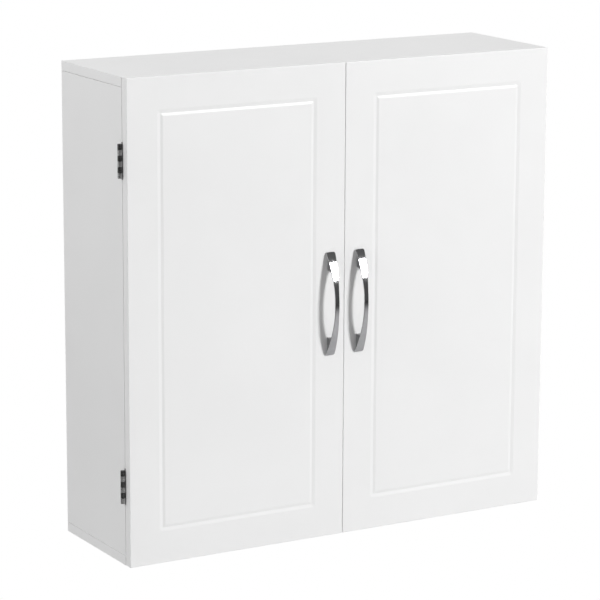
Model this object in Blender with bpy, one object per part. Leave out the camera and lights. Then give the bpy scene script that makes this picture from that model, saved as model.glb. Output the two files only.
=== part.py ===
"""Hanging wall cabinet: two hinged doors, one shelf, a rail with hanging plates.

Metres, +Z up. X runs along the wall, the wall is the plane Y = 0 and the doors face -Y.
The origin is the middle of the rail's back face, where the cabinet bears on the wall.
Every height below is measured from the underside of the cabinet instead, and the empty
called cabinet, which carries all pieces, brings the rail to the origin.
"""

import math
from collections import namedtuple

import bmesh
import bpy
from mathutils import Matrix, Vector

# Whole cabinet
WIDTH = 0.600
HEIGHT = 0.600
DEPTH = 0.177  # wall to the front faces of the doors
BOARD = 0.012  # carcass boards and doors
FIT = 0.0003  # gap between pieces that touch
EASED_EDGE = 0.0004

# Doors and their routed groove
DOOR_GAP = 0.0004  # carcass front to door back
MEETING_GAP = 0.0005  # between the two doors
DOOR_CORNER = 0.0008
DOOR_ROUND = 0.0009  # rounding of the front edges
FRAME_WIDTH = 0.0403  # door edge to the groove
GROOVE_SLOPE = 0.0044  # width of the groove's gentle outer side
GROOVE_WIDTH = 0.0077
GROOVE_DEPTH = 0.0009
GROOVE_CORNER = 0.003

# Back
BACK_SHEET = 0.003
PLOUGH = 0.006  # how deep the back sheet's groove goes into the boards
BACK_REACH = 0.0055
RAIL_HEIGHT = 0.060

# Shelf and its supports
SHELF_DEPTH = 0.130
SHELF_SIDE_GAP = 0.0008
SHELF_UNDERSIDE = 0.294
PEG_RADIUS = 0.0025
PEG_DEPTH = 0.008
PEG_DROP = 0.005  # underside of the shelf to the peg's centre line
PEG_FROM_WALL = {"rear": 0.045, "front": 0.125}
HOLE_PITCH = 0.032
HOLES_EACH_WAY = 1
SUPPORT_PLATE = 0.0016
SUPPORT_WIDTH = 0.010
SUPPORT_HEIGHT = 0.0125
SUPPORT_TAB = 0.011

# Hinges
HINGE_FROM_END = 0.100  # end of the cabinet to the middle of a hinge
HINGE_HEIGHT = 0.045  # of a leaf
BARREL_HEIGHT = 0.0415
KNUCKLES = 6
KNUCKLE_GAP = 0.0004
BARREL_RADIUS = 0.00275
BARREL_BORE = 0.0015
HINGE_PIN = 0.0012
LEAF = 0.0009
LEAF_REACH = 0.0143  # barrel centre to the free edge of a leaf
LEAF_ROOT = 0.0031  # barrel centre to the leaf between its own knuckles
AXIS_OUT = 0.003  # barrel centre beyond the side of the cabinet
HINGE_SCREW_SPREAD = 0.013  # middle of the hinge to a screw
HINGE_SCREW_IN = 0.0088  # barrel centre to the screws

# Handles
HANDLE_FROM_MIDDLE = 0.021  # middle of the cabinet to a handle's centre line
HANDLE_MIDDLE = 0.300
HANDLE_LENGTH = 0.131
HANDLE_OPENING = 0.085
HANDLE_RISE = 0.0195
HANDLE_BAR = 0.0032  # depth of the bar between the feet
HANDLE_THROAT = 0.0045  # length over which the bar turns down into a foot
HANDLE_TIP = 0.0015
HANDLE_WAIST = 0.0058
HANDLE_END_WIDTH = 0.0130
HANDLE_BACK_WIDTH = 0.0024  # of the bar's rounded back
HANDLE_FOOT_WIDTH = 0.0066  # where a foot stands on the door
FLARE_FROM = 0.014  # distance from the handle's middle where it starts to widen
FLARE_POWER = 1.25
HANDLE_ROUND = 0.0005
HANDLE_END_ROUND = 0.0022  # rounding of each foot's outer corners
HANDLE_SCREW_SPREAD = 0.048
HANDLE_SCREW = 0.002
HANDLE_THREAD = 0.0075
PAN_HEAD = ((0.0026, 0.0024), (0.0021, 0.0034), (0.0012, 0.0040))  # (height, radius) from the top
END_STEPS = 3
FOOT_STEPS = 2
THROAT_STEPS = 3
SPAN_STEPS = 12
SECTION_STEPS = 3  # round each front edge and each half of the back

# Magnetic catch under the top and its striker plates on the doors
CATCH_EARS = 0.066
CATCH_EAR_THICK = 0.0016
CATCH_BODY = 0.040
CATCH_HEIGHT = 0.013
CATCH_DEPTH = 0.018
CATCH_INWARD = 0.0012  # carcass front to the catch's face
CATCH_SCREW_SPREAD = 0.0265
MAGNET_WELL = (0.016, 0.0016, 0.0085)
STRIKER = (0.022, 0.0012, 0.013)
STRIKER_FROM_MIDDLE = 0.0125

# Hanging plates let into the back of the rail
PLATE = (0.058, 0.0015, 0.022)
PLATE_FROM_MIDDLE = 0.215
PLATE_SCREW_SPREAD = 0.022
KEYHOLE_HEAD = 0.0045
KEYHOLE_SLOT = 0.0023
KEYHOLE_DROP = 0.0045  # plate's middle to the centre of the round part
KEYHOLE_RISE = 0.0060  # plate's middle to the centre of the slot's top
POCKET = (0.013, 0.008, 0.020)

# Countersunk screws: radii of head and shank, height of the head, whole length
Screw = namedtuple("Screw", "head shank sink length")
HINGE_SCREW = Screw(0.0021, 0.0011, 0.0008, 0.0090)
PLATE_SCREW = Screw(0.0027, 0.0014, 0.0013, 0.0085)
CATCH_SCREW = Screw(0.0025, 0.0013, 0.0014, 0.0095)
STRIKER_SCREW = Screw(0.0024, 0.0012, 0.0011, 0.0085)

# What follows from those
CARCASS_DEPTH = DEPTH - BOARD - DOOR_GAP
INSIDE_X = WIDTH / 2 - BOARD
INSIDE_TOP = HEIGHT - BOARD
AXIS_X = WIDTH / 2 + AXIS_OUT
AXIS_Y = -(CARCASS_DEPTH + DOOR_GAP / 2)
DOOR_BACK = -(CARCASS_DEPTH + DOOR_GAP)
DOOR_WIDTH = WIDTH / 2 - FIT - MEETING_GAP / 2
DOOR_MIDDLE = (MEETING_GAP + DOOR_WIDTH) / 2
RAIL_MIDDLE = INSIDE_TOP - FIT - RAIL_HEIGHT / 2
CATCH_FACE = CATCH_INWARD - CARCASS_DEPTH
MAGNET_HEIGHT = INSIDE_TOP - FIT - CATCH_HEIGHT / 2
LEAF_FACE = FIT / 2  # barrel centre plane to the inner face of a leaf
PEG_HEIGHT = SHELF_UNDERSIDE - PEG_DROP

SIDES = {"left": -1, "right": 1}
HINGE_HEIGHTS = {"upper": HEIGHT - HINGE_FROM_END, "lower": HINGE_FROM_END}
ENDS = {"top": 1, "bottom": -1}

ACROSS = Vector((1, 0, 0))
REAR = Vector((0, 1, 0))
UP = Vector((0, 0, 1))


# ---- general helpers


def finish(name, colour, metallic, roughness):
    """A Principled material in one colour."""
    material = bpy.data.materials.new(name)
    material.use_nodes = True
    shader = material.node_tree.nodes["Principled BSDF"]
    shader.inputs["Base Color"].default_value = (*colour, 1)
    shader.inputs["Metallic"].default_value = metallic
    shader.inputs["Roughness"].default_value = roughness
    material.diffuse_color = (*colour, 1)
    return material


def empty(name, at, parent=None):
    """A point that pieces are parented to."""
    point = bpy.data.objects.new(name, None)
    point.empty_display_size = 0.02
    bpy.context.scene.collection.objects.link(point)
    if parent:
        point.parent = parent
        point.location = Vector(at) - spot(parent)
    else:
        point.location = at
    return point


def spot(thing):
    """Where an object stands, measured like the heights: nothing here has a turned parent."""
    place = Vector()
    while thing.parent:
        place += thing.location
        thing = thing.parent
    return place


def add(name, mesh, parent, material, at):
    """One named piece, its mesh placed at a point."""
    piece = bpy.data.objects.new(name, mesh)
    bpy.context.scene.collection.objects.link(piece)
    piece.parent = parent
    piece.location = Vector(at) - spot(parent)
    if not mesh.materials:
        mesh.materials.append(material)
    return piece


def to_mesh(bm, name, smooth=False):
    bmesh.ops.recalc_face_normals(bm, faces=bm.faces)
    mesh = bpy.data.meshes.new(name)
    bm.to_mesh(mesh)
    bm.free()
    if smooth:
        mesh.shade_smooth()
        mesh.set_sharp_from_angle(angle=math.radians(35))
    return mesh


def block(bm, size, at=(0, 0, 0)):
    """A box of this size about a point."""
    bmesh.ops.create_cube(bm, size=1, matrix=Matrix.Translation(at) @ Matrix.Diagonal((*size, 1)))


def skin(bm, rings):
    """Faces between successive closed rings of points, with both ends capped."""
    rings = [[bm.verts.new(point) for point in ring] for ring in rings]
    count = len(rings[0])
    for lower, upper in zip(rings, rings[1:]):
        for i in range(count):
            j = (i + 1) % count
            bm.faces.new((lower[i], lower[j], upper[j], upper[i]))
    bm.faces.new(rings[0])
    bm.faces.new(rings[-1])


def turned(bm, profile, start, direction, sides=10):
    """A solid turned about a line. The profile lists (distance along the line, radius)."""
    turn = UP.rotation_difference(direction).to_matrix()
    angles = [2 * math.pi * step / sides for step in range(sides)]
    rings = []
    for along, radius in profile:
        ring = [Vector((radius * math.cos(a), radius * math.sin(a), along)) for a in angles]
        rings.append([Vector(start) + turn @ point for point in ring])
    skin(bm, rings)


def prism(bm, outline, near, far):
    """An outline of (x, z) points carried along Y from near to far."""
    skin(bm, [[(x, y, z) for x, z in outline] for y in (near, far)])


def helper(host, name, bm):
    """A hidden shape that one of a piece's Booleans uses, and that moves with the piece."""
    shape = bpy.data.objects.new(name, to_mesh(bm, name))
    bpy.context.scene.collection.objects.link(shape)
    shape.parent = host
    shape.hide_render = True
    shape.display_type = "WIRE"
    return shape


def cut(host, bm, label):
    """Takes a shape, drawn where it belongs in the cabinet, away from an unturned piece."""
    cutter = helper(host, f"{host.name}_{label}", bm)
    cutter.location = -spot(host)
    boolean = host.modifiers.new(label, "BOOLEAN")
    boolean.operation = "DIFFERENCE"
    boolean.object = cutter


def unite(host, bm, label):
    """Joins a shape, drawn in the piece's own coordinates, to a piece."""
    boolean = host.modifiers.new(label, "BOOLEAN")
    boolean.operation = "UNION"
    boolean.object = helper(host, f"{host.name}_{label}", bm)


def board(name, size, at, parent, material):
    """A flat board with lightly eased edges, centred on a point."""
    bm = bmesh.new()
    block(bm, size)
    piece = add(name, to_mesh(bm, name), parent, material, at)
    ease = piece.modifiers.new("eased edges", "BEVEL")
    ease.width = EASED_EDGE
    ease.segments = 1
    return piece


def screw_mesh(name, screw):
    """A countersunk screw, its head's face in the plane Z = 0 and its point below."""
    rim = screw.sink / 8
    tip = 0.8 * screw.shank
    profile = (
        (0, screw.head),
        (-rim, screw.head),
        (-screw.sink, screw.shank),
        (tip - screw.length, screw.shank),
        (-screw.length, 0.3 * screw.shank),
    )
    bm = bmesh.new()
    turned(bm, profile, (0, 0, 0), UP)
    return to_mesh(bm, name, smooth=True)


def add_screw(name, mesh, at, outward, parent, material):
    """A screw with its head's face at a point, facing outward."""
    piece = add(name, mesh, parent, material, at)
    piece.rotation_euler = UP.rotation_difference(outward).to_euler()
    return piece


def drill(bm, radius, depth, start, inward):
    """A blind hole, begun a little outside the surface."""
    turned(bm, ((-FIT, radius), (depth, radius)), start, inward)


def sink(bm, screw, thick, start, inward):
    """A countersunk hole right through a plate of this thickness."""
    wide = screw.head + FIT
    narrow = screw.shank + FIT
    turned(bm, ((-FIT, wide), (0, wide), (thick, narrow), (thick + FIT, narrow)), start, inward)


# ---- carcass


def back_plough(bm, size_x, size_z, x, z):
    """The groove in a board that holds an edge of the back sheet."""
    y = -(BOARD + FIT + BACK_SHEET / 2)
    block(bm, (size_x, BACK_SHEET + 2 * FIT, size_z), (x, y, z))


def end_panels(parent, paint):
    """The bottom and the top, which run the full width over the sides."""
    length = WIDTH - 2 * (BOARD - PLOUGH)
    for name, middle, face in (
        ("bottom_panel", BOARD / 2, BOARD),
        ("top_panel", HEIGHT - BOARD / 2, INSIDE_TOP),
    ):
        size = (WIDTH, CARCASS_DEPTH, BOARD)
        panel = board(name, size, (0, -CARCASS_DEPTH / 2, middle), parent, paint)
        bm = bmesh.new()
        back_plough(bm, length, 2 * PLOUGH, 0, face)
        if name == "top_panel":
            for x in (-CATCH_SCREW_SPREAD, CATCH_SCREW_SPREAD):
                start = (x, CATCH_FACE + CATCH_DEPTH / 2, INSIDE_TOP)
                drill(bm, CATCH_SCREW.shank + FIT, CATCH_SCREW.length, start, UP)
        cut(panel, bm, "holes")


def side_panels(parent, paint):
    height = HEIGHT - 2 * (BOARD + FIT)
    for side, sign in SIDES.items():
        middle = (sign * (WIDTH - BOARD) / 2, -CARCASS_DEPTH / 2, HEIGHT / 2)
        panel = board(f"{side}_side_panel", (BOARD, CARCASS_DEPTH, height), middle, parent, paint)
        bm = bmesh.new()
        back_plough(bm, 2 * PLOUGH, HEIGHT, sign * INSIDE_X, HEIGHT / 2)
        for from_wall in PEG_FROM_WALL.values():
            for row in range(-HOLES_EACH_WAY, HOLES_EACH_WAY + 1):
                start = (sign * INSIDE_X, -from_wall, PEG_HEIGHT + row * HOLE_PITCH)
                drill(bm, PEG_RADIUS + FIT, PEG_DEPTH + FIT, start, sign * ACROSS)
        hinge_holes(bm, sign, -CARCASS_DEPTH, REAR)
        cut(panel, bm, "holes")
        bm = bmesh.new()
        hinge_recesses(bm, sign, 1)
        cut(panel, bm, "hinge_recesses")


def back_panel(parent, paint):
    reach = 2 * BACK_REACH
    size = (2 * INSIDE_X + reach, BACK_SHEET, INSIDE_TOP - BOARD + reach)
    bm = bmesh.new()
    block(bm, size)
    middle = (0, -(BOARD + FIT + BACK_SHEET / 2), HEIGHT / 2)
    add("back_panel", to_mesh(bm, "back_panel"), parent, paint, middle)


def shelf(parent, paint):
    size = (2 * (INSIDE_X - SHELF_SIDE_GAP), SHELF_DEPTH, BOARD)
    back = BOARD + BACK_SHEET + SHELF_SIDE_GAP
    middle = (0, -(back + SHELF_DEPTH / 2), SHELF_UNDERSIDE + BOARD / 2)
    board("shelf", size, middle, parent, paint)


def shelf_supports(parent, steel):
    """Four supports: a plate against the side, a tab under the shelf and a round peg."""
    top = PEG_DROP - FIT
    under_tab = top - SUPPORT_PLATE
    low = top - SUPPORT_HEIGHT
    inner = FIT + SUPPORT_PLATE
    outline = (
        (FIT, top),
        (FIT, low),
        (inner, low),
        (inner, under_tab),
        (SUPPORT_TAB, under_tab),
        (SUPPORT_TAB, top),
    )
    for side, sign in SIDES.items():
        for place, from_wall in PEG_FROM_WALL.items():
            bm = bmesh.new()
            prism(bm, [(-sign * x, z) for x, z in outline], -SUPPORT_WIDTH / 2, SUPPORT_WIDTH / 2)
            name = f"shelf_support_{place}_{side}"
            at = (sign * INSIDE_X, -from_wall, PEG_HEIGHT)
            support = add(name, to_mesh(bm, name), parent, steel, at)
            bm = bmesh.new()
            start = (-sign * (FIT + SUPPORT_PLATE / 2), 0, 0)
            peg = ((0, PEG_RADIUS), (PEG_DEPTH, PEG_RADIUS))
            turned(bm, peg, start, sign * ACROSS)
            unite(support, bm, "peg")


# ---- rail and hanging plates


def keyhole():
    """The outline of a keyhole: a round opening with a narrower slot above it."""
    shoulder = math.asin(KEYHOLE_SLOT / KEYHOLE_HEAD)
    steps = 12
    outline = []
    for step in range(steps + 1):
        angle = math.pi / 2 + shoulder + step * (2 * math.pi - 2 * shoulder) / steps
        x = KEYHOLE_HEAD * math.cos(angle)
        outline.append((x, KEYHOLE_HEAD * math.sin(angle) - KEYHOLE_DROP))
    for step in range(steps // 2 + 1):
        angle = step * math.pi / (steps // 2)
        outline.append((KEYHOLE_SLOT * math.cos(angle), KEYHOLE_RISE + KEYHOLE_SLOT * math.sin(angle)))
    return outline


def hanging_rail(parent, paint, steel):
    """The rail behind the back sheet, with a steel keyhole plate near each end."""
    size = (2 * (INSIDE_X - FIT), BOARD, RAIL_HEIGHT)
    rail = board("hanging_rail", size, (0, -BOARD / 2, RAIL_MIDDLE), parent, paint)
    recesses = bmesh.new()
    holes = bmesh.new()
    floor = -(PLATE[1] + 2 * FIT)
    wood_screw = screw_mesh("plate_screw", PLATE_SCREW)
    for side, sign in SIDES.items():
        x = sign * PLATE_FROM_MIDDLE
        recess = (PLATE[0] + 2 * FIT, -2 * floor, PLATE[2] + 2 * FIT)
        block(recesses, recess, (x, 0, RAIL_MIDDLE))
        block(holes, POCKET, (x, floor + FIT - POCKET[1] / 2, RAIL_MIDDLE))

        bm = bmesh.new()
        block(bm, PLATE)
        at = (x, -(FIT + PLATE[1] / 2), RAIL_MIDDLE)
        plate = add(f"hanging_plate_{side}", to_mesh(bm, "hanging_plate"), parent, steel, at)
        bm = bmesh.new()
        prism(bm, [(x + dx, RAIL_MIDDLE + dz) for dx, dz in keyhole()], 0, -3 * PLATE[1])
        for end, offset in (("a", -PLATE_SCREW_SPREAD), ("b", PLATE_SCREW_SPREAD)):
            face = (x + offset, -FIT, RAIL_MIDDLE)
            sink(bm, PLATE_SCREW, PLATE[1], face, -REAR)
            drill(holes, PLATE_SCREW.shank + FIT, PLATE_SCREW.length, face, -REAR)
            name = f"hanging_plate_screw_{side}_{end}"
            add_screw(name, wood_screw, face, REAR, parent, steel)
        cut(plate, bm, "holes")
    cut(rail, recesses, "recesses")
    cut(rail, holes, "holes")


# ---- hinges


def hinge_screw_spots(sign):
    """(x, z) of every hinge screw on one side of the cabinet, the same in side and door."""
    x = sign * (AXIS_X - HINGE_SCREW_IN)
    return [
        (x, height + end * HINGE_SCREW_SPREAD)
        for height in HINGE_HEIGHTS.values()
        for end in ENDS.values()
    ]


def hinge_holes(bm, sign, surface, inward):
    """The screw holes of one side's hinges, in a side panel or in a door."""
    for x, z in hinge_screw_spots(sign):
        drill(bm, HINGE_SCREW.shank + FIT, HINGE_SCREW.length + FIT, (x, surface, z), inward)


def hinge_recesses(bm, sign, face):
    """Where the leaves are let in flush. face is 1 on the carcass and -1 on the door."""
    floor = face * (LEAF_FACE + LEAF + FIT)
    inner = AXIS_X - LEAF_REACH - FIT
    outer = AXIS_X
    for height in HINGE_HEIGHTS.values():
        size = (outer - inner, abs(floor), HINGE_HEIGHT + 2 * FIT)
        block(bm, size, (sign * (inner + outer) / 2, AXIS_Y + floor / 2, height))


def hinge_leaf(name, sign, face, own, at, parent, steel):
    """A leaf with every other knuckle. face is 1 on the carcass and -1 on the door."""
    pitch = BARREL_HEIGHT / KNUCKLES
    trim = KNUCKLE_GAP / 2
    half = BARREL_HEIGHT / 2
    spans = [(k * pitch - half + trim, (k + 1) * pitch - half - trim) for k in own]
    inner = face * LEAF_FACE
    middle = inner + face * LEAF / 2
    bm = bmesh.new()
    flat = (LEAF_REACH - LEAF_ROOT, LEAF, HINGE_HEIGHT)
    block(bm, flat, (-sign * (LEAF_REACH + LEAF_ROOT) / 2, middle, 0))
    leaf = add(name, to_mesh(bm, name), parent, steel, at)
    bm = bmesh.new()
    neck = LEAF_ROOT + LEAF
    for low, high in spans:
        block(bm, (neck, LEAF, high - low), (-sign * neck / 2, middle, (low + high) / 2))
    unite(leaf, bm, "necks")

    bm = bmesh.new()
    for low, high in spans:
        turned(bm, ((low, BARREL_RADIUS), (high, BARREL_RADIUS)), (0, 0, 0), UP, sides=16)
    unite(leaf, bm, "knuckles")
    bm = bmesh.new()
    bore = ((-HINGE_HEIGHT, BARREL_BORE), (HINGE_HEIGHT, BARREL_BORE))
    turned(bm, bore, at, UP)
    for end in ENDS.values():
        screw_at = Vector(at) + Vector((-sign * HINGE_SCREW_IN, inner, end * HINGE_SCREW_SPREAD))
        sink(bm, HINGE_SCREW, LEAF, screw_at, face * REAR)
    cut(leaf, bm, "bore")


def hinge(side, sign, level, carcass, door, steel):
    """One butt hinge, let in flush, its barrel outside in line with the gap behind the door."""
    name = f"{side}_{level}_hinge"
    at = Vector((sign * AXIS_X, AXIS_Y, HINGE_HEIGHTS[level]))
    hinge_leaf(f"{name}_frame_leaf", sign, 1, range(1, KNUCKLES, 2), at, carcass, steel)
    hinge_leaf(f"{name}_door_leaf", sign, -1, range(0, KNUCKLES, 2), at, door, steel)
    bm = bmesh.new()
    half = BARREL_HEIGHT / 2
    tip = HINGE_PIN / 3
    low_end = ((-half, HINGE_PIN - tip), (tip - half, HINGE_PIN))
    high_end = ((half - tip, HINGE_PIN), (half, HINGE_PIN - tip))
    turned(bm, low_end + high_end, (0, 0, 0), UP)
    add(f"{name}_pin", to_mesh(bm, "hinge_pin", smooth=True), carcass, steel, at)
    screw_shape = screw_mesh("hinge_screw", HINGE_SCREW)
    for leaf, parent, outward in (("frame", carcass, -REAR), ("door", door, REAR)):
        for end, way in ENDS.items():
            head = at + Vector((-sign * HINGE_SCREW_IN, 0, way * HINGE_SCREW_SPREAD))
            head.y -= outward.y * LEAF_FACE
            add_screw(f"{name}_{leaf}_screw_{end}", screw_shape, head, outward, parent, steel)


# ---- doors, handles and strikers


def rounded_frame(inset, radius, width, height, steps=3):
    """A rectangle's outline, drawn in from its edges, with rounded corners."""
    half_x = width / 2 - inset - radius
    half_z = height / 2 - inset - radius
    outline = []
    for quarter, (x, z) in enumerate(((1, 1), (-1, 1), (-1, -1), (1, -1))):
        for step in range(steps + 1):
            angle = (quarter + step / steps) * math.pi / 2
            outline.append((x * half_x + radius * math.cos(angle), z * half_z + radius * math.sin(angle)))
    return outline


def door_profile():
    """(inset from the edge, corner radius, distance from the back), from back to field."""
    round_steps = 3
    profile = [(0, DOOR_CORNER, 0)]
    for step in range(round_steps + 1):
        angle = step / round_steps * math.pi / 2
        inset = DOOR_ROUND * (1 - math.cos(angle))
        profile.append((inset, DOOR_CORNER + inset / 2, BOARD - DOOR_ROUND * (1 - math.sin(angle))))
    return profile + [
        (FRAME_WIDTH, GROOVE_CORNER, BOARD),
        (FRAME_WIDTH + GROOVE_SLOPE, GROOVE_CORNER / 2, BOARD - GROOVE_DEPTH),
        (FRAME_WIDTH + GROOVE_WIDTH, GROOVE_CORNER / 4, BOARD),
    ]


def door(side, sign, axis_point, paint):
    rings = []
    for inset, radius, height in door_profile():
        outline = rounded_frame(inset, radius, DOOR_WIDTH, HEIGHT)
        rings.append([(x, -height, z) for x, z in outline])
    bm = bmesh.new()
    skin(bm, rings)
    at = (sign * DOOR_MIDDLE, DOOR_BACK, HEIGHT / 2)
    slab = add(f"{side}_door", to_mesh(bm, f"{side}_door"), axis_point, paint, at)
    bm = bmesh.new()
    hinge_recesses(bm, sign, -1)
    cut(slab, bm, "hinge_recesses")
    bm = bmesh.new()
    hinge_holes(bm, sign, DOOR_BACK, -REAR)
    drill(bm, STRIKER_SCREW.shank + FIT, STRIKER_SCREW.length, striker_spot(sign, DOOR_BACK), -REAR)
    for end in ENDS.values():
        start = (sign * HANDLE_FROM_MIDDLE, DOOR_BACK, HANDLE_MIDDLE + end * HANDLE_SCREW_SPREAD)
        drill(bm, HANDLE_SCREW + FIT, BOARD + FIT, start, -REAR)
    cut(slab, bm, "holes")


def striker_spot(sign, y):
    return (sign * STRIKER_FROM_MIDDLE, y, MAGNET_HEIGHT)


def striker(side, sign, axis_point, steel):
    """The steel plate that the magnet holds, with its one screw."""
    bm = bmesh.new()
    block(bm, STRIKER)
    middle = DOOR_BACK + FIT + STRIKER[1] / 2
    at = striker_spot(sign, middle)
    plate = add(f"{side}_striker_plate", to_mesh(bm, "striker_plate"), axis_point, steel, at)
    face = striker_spot(sign, middle + STRIKER[1] / 2)
    bm = bmesh.new()
    sink(bm, STRIKER_SCREW, STRIKER[1], face, -REAR)
    cut(plate, bm, "hole")
    shape = screw_mesh("striker_screw", STRIKER_SCREW)
    add_screw(f"{side}_striker_screw", shape, face, REAR, axis_point, steel)


def arc_height(along, half_chord, rise):
    """Height of a circular arc over its chord, and nothing beyond the chord's ends."""
    if abs(along) >= half_chord:
        return 0.0
    radius = (half_chord**2 + rise**2) / (2 * rise)
    return math.sqrt(radius**2 - along**2) - (radius - rise)


def handle_stations():
    """Heights of the handle's sections: the rounded ends, feet, throats and span."""
    opening = HANDLE_OPENING / 2
    straight = opening - HANDLE_THROAT
    flat = HANDLE_LENGTH / 2 - HANDLE_END_ROUND
    angles = [step / END_STEPS * math.pi / 2 for step in range(END_STEPS)]
    foot = [flat + HANDLE_END_ROUND * math.cos(angle) for angle in angles]
    foot += [flat + (opening - flat) * step / FOOT_STEPS for step in range(FOOT_STEPS)]
    angles = [step / THROAT_STEPS * math.pi / 2 for step in range(THROAT_STEPS)]
    throat = [straight + HANDLE_THROAT * math.cos(angle) for angle in angles]
    span = [straight * (1 - 2 * step / SPAN_STEPS) for step in range(SPAN_STEPS + 1)]
    return foot + throat + span + [-z for z in reversed(foot + throat)]


def end_rounding(along):
    """How much narrower each side of a foot is near its outer end."""
    into = max(abs(along) - HANDLE_LENGTH / 2, -HANDLE_END_ROUND) + HANDLE_END_ROUND
    return HANDLE_END_ROUND - math.sqrt(max(HANDLE_END_ROUND**2 - into**2, 0))


def handle_section(along):
    """(x, height over the door) round one section of the bow: flat in front, rounded behind."""
    half = HANDLE_LENGTH / 2
    front = HANDLE_TIP + arc_height(along, half, HANDLE_RISE - HANDLE_TIP)
    flare = max(abs(along) - FLARE_FROM, 0) / (half - FLARE_FROM)
    side = (HANDLE_WAIST + (HANDLE_END_WIDTH - HANDLE_WAIST) * flare**FLARE_POWER) / 2
    side -= end_rounding(along)
    down = (abs(along) - HANDLE_OPENING / 2) / HANDLE_THROAT + 1
    down = min(max(down, 0), 1)
    back = (front - HANDLE_BAR) * math.sqrt(1 - down**2)
    back_side = (HANDLE_BACK_WIDTH + (HANDLE_FOOT_WIDTH - HANDLE_BACK_WIDTH) * down) / 2
    back_side -= end_rounding(along) / 2
    edge = min(HANDLE_ROUND, (front - back) / 4)
    outline = []
    for step in range(SECTION_STEPS + 1):
        angle = step / SECTION_STEPS * math.pi / 2
        outline.append((side - edge * (1 - math.sin(angle)), front - edge * (1 - math.cos(angle))))
    for step in range(1, SECTION_STEPS + 1):
        part = step / SECTION_STEPS
        round_x = math.cos(part * math.pi / 2)
        round_z = math.sin(part * math.pi / 2)
        x = (1 - down) * round_x + down * (1 - part)
        drop = (1 - down) * round_z + down * part
        outline.append((back_side + (side - back_side) * x, front - edge - (front - edge - back) * drop))
    return outline + [(-x, height) for x, height in reversed(outline)]


def handle(side, sign, axis_point, metal, steel):
    """A bow handle with a solid foot at each end, and the two screws that hold it."""
    face = -(DEPTH + FIT)
    x = sign * HANDLE_FROM_MIDDLE
    bm = bmesh.new()
    skin(bm, [[(a, -height, z) for a, height in handle_section(z)] for z in handle_stations()])
    mesh = to_mesh(bm, f"{side}_handle", smooth=True)
    bow = add(f"{side}_handle", mesh, axis_point, metal, (x, face, HANDLE_MIDDLE))
    holes = bmesh.new()
    shank = (
        (FIT, PAN_HEAD[-1][1]),
        (FIT, HANDLE_SCREW),
        (-(BOARD + HANDLE_THREAD), HANDLE_SCREW),
    )
    bm = bmesh.new()
    turned(bm, PAN_HEAD + shank, (0, 0, 0), UP)
    screw_shape = to_mesh(bm, "handle_screw", smooth=True)
    for end, way in ENDS.items():
        z = HANDLE_MIDDLE + way * HANDLE_SCREW_SPREAD
        drill(holes, HANDLE_SCREW + FIT, HANDLE_THREAD + FIT, (x, face, z), -REAR)
        name = f"{side}_handle_screw_{end}"
        add_screw(name, screw_shape, (x, DOOR_BACK, z), REAR, axis_point, steel)
    cut(bow, holes, "threads")


# ---- magnetic catch


def catch(parent, plastic, steel):
    """A double catch under the top: a body with two magnet wells, between two ears."""
    top = INSIDE_TOP - FIT
    under_ear = top - CATCH_EAR_THICK
    low = top - CATCH_HEIGHT
    ear = CATCH_EARS / 2
    body = CATCH_BODY / 2
    outline = (
        (-ear, top),
        (-ear, under_ear),
        (-body, under_ear),
        (-body, low),
        (body, low),
        (body, under_ear),
        (ear, under_ear),
        (ear, top),
    )
    bm = bmesh.new()
    prism(bm, outline, CATCH_FACE, CATCH_FACE + CATCH_DEPTH)
    housing = add("catch_housing", to_mesh(bm, "catch_housing"), parent, plastic, (0, 0, 0))
    bm = bmesh.new()
    for sign in SIDES.values():
        width, depth, height = MAGNET_WELL
        well = (sign * CATCH_BODY / 4, CATCH_FACE, MAGNET_HEIGHT)
        block(bm, (width, 2 * depth, height), well)
        screw_at = (sign * CATCH_SCREW_SPREAD, CATCH_FACE + CATCH_DEPTH / 2, under_ear)
        sink(bm, CATCH_SCREW, CATCH_EAR_THICK, screw_at, UP)
    cut(housing, bm, "wells")
    shape = screw_mesh("catch_screw", CATCH_SCREW)
    for side, sign in SIDES.items():
        screw_at = (sign * CATCH_SCREW_SPREAD, CATCH_FACE + CATCH_DEPTH / 2, under_ear)
        piece = add(f"catch_screw_{side}", shape, parent, steel, screw_at)
        piece.rotation_euler.x = math.pi


# ---- the whole cabinet


for old in list(bpy.data.objects):
    bpy.data.objects.remove(old)

white_paint = finish("white satin paint", (0.80, 0.80, 0.80), 0, 0.35)
white_sheet = finish("white faced hardboard", (0.76, 0.76, 0.75), 0, 0.5)
dark_nickel = finish("dark polished nickel", (0.30, 0.30, 0.31), 1, 0.18)
hinge_steel = finish("dark hinge steel", (0.24, 0.24, 0.25), 1, 0.3)
zinc = finish("zinc plated steel", (0.62, 0.63, 0.65), 1, 0.3)
white_plastic = finish("white plastic", (0.82, 0.82, 0.80), 0, 0.45)

cabinet = empty("cabinet", (0, 0, -RAIL_MIDDLE))
end_panels(cabinet, white_paint)
side_panels(cabinet, white_paint)
back_panel(cabinet, white_sheet)
hanging_rail(cabinet, white_paint, zinc)
shelf(cabinet, white_paint)
shelf_supports(cabinet, zinc)
catch(cabinet, white_plastic, zinc)
for side, sign in SIDES.items():
    door_axis = empty(f"{side}_door_axis", (sign * AXIS_X, AXIS_Y, 0), cabinet)
    door(side, sign, door_axis, white_paint)
    handle(side, sign, door_axis, dark_nickel, zinc)
    striker(side, sign, door_axis, zinc)
    for level in HINGE_HEIGHTS:
        hinge(side, sign, level, cabinet, door_axis, hinge_steel)
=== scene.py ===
"""Looks of a white hanging wall cabinet with two doors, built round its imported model.

Metres, +Z up. The wall is the plane Y = 0, the doors face -Y and X runs along the wall.
The origin is the middle of the hanging rail's back face. The sections follow the cabinet
as it is put together: studio, carcass, back, rail, shelf, catch, hinges, doors, handles.
"""

import math

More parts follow.
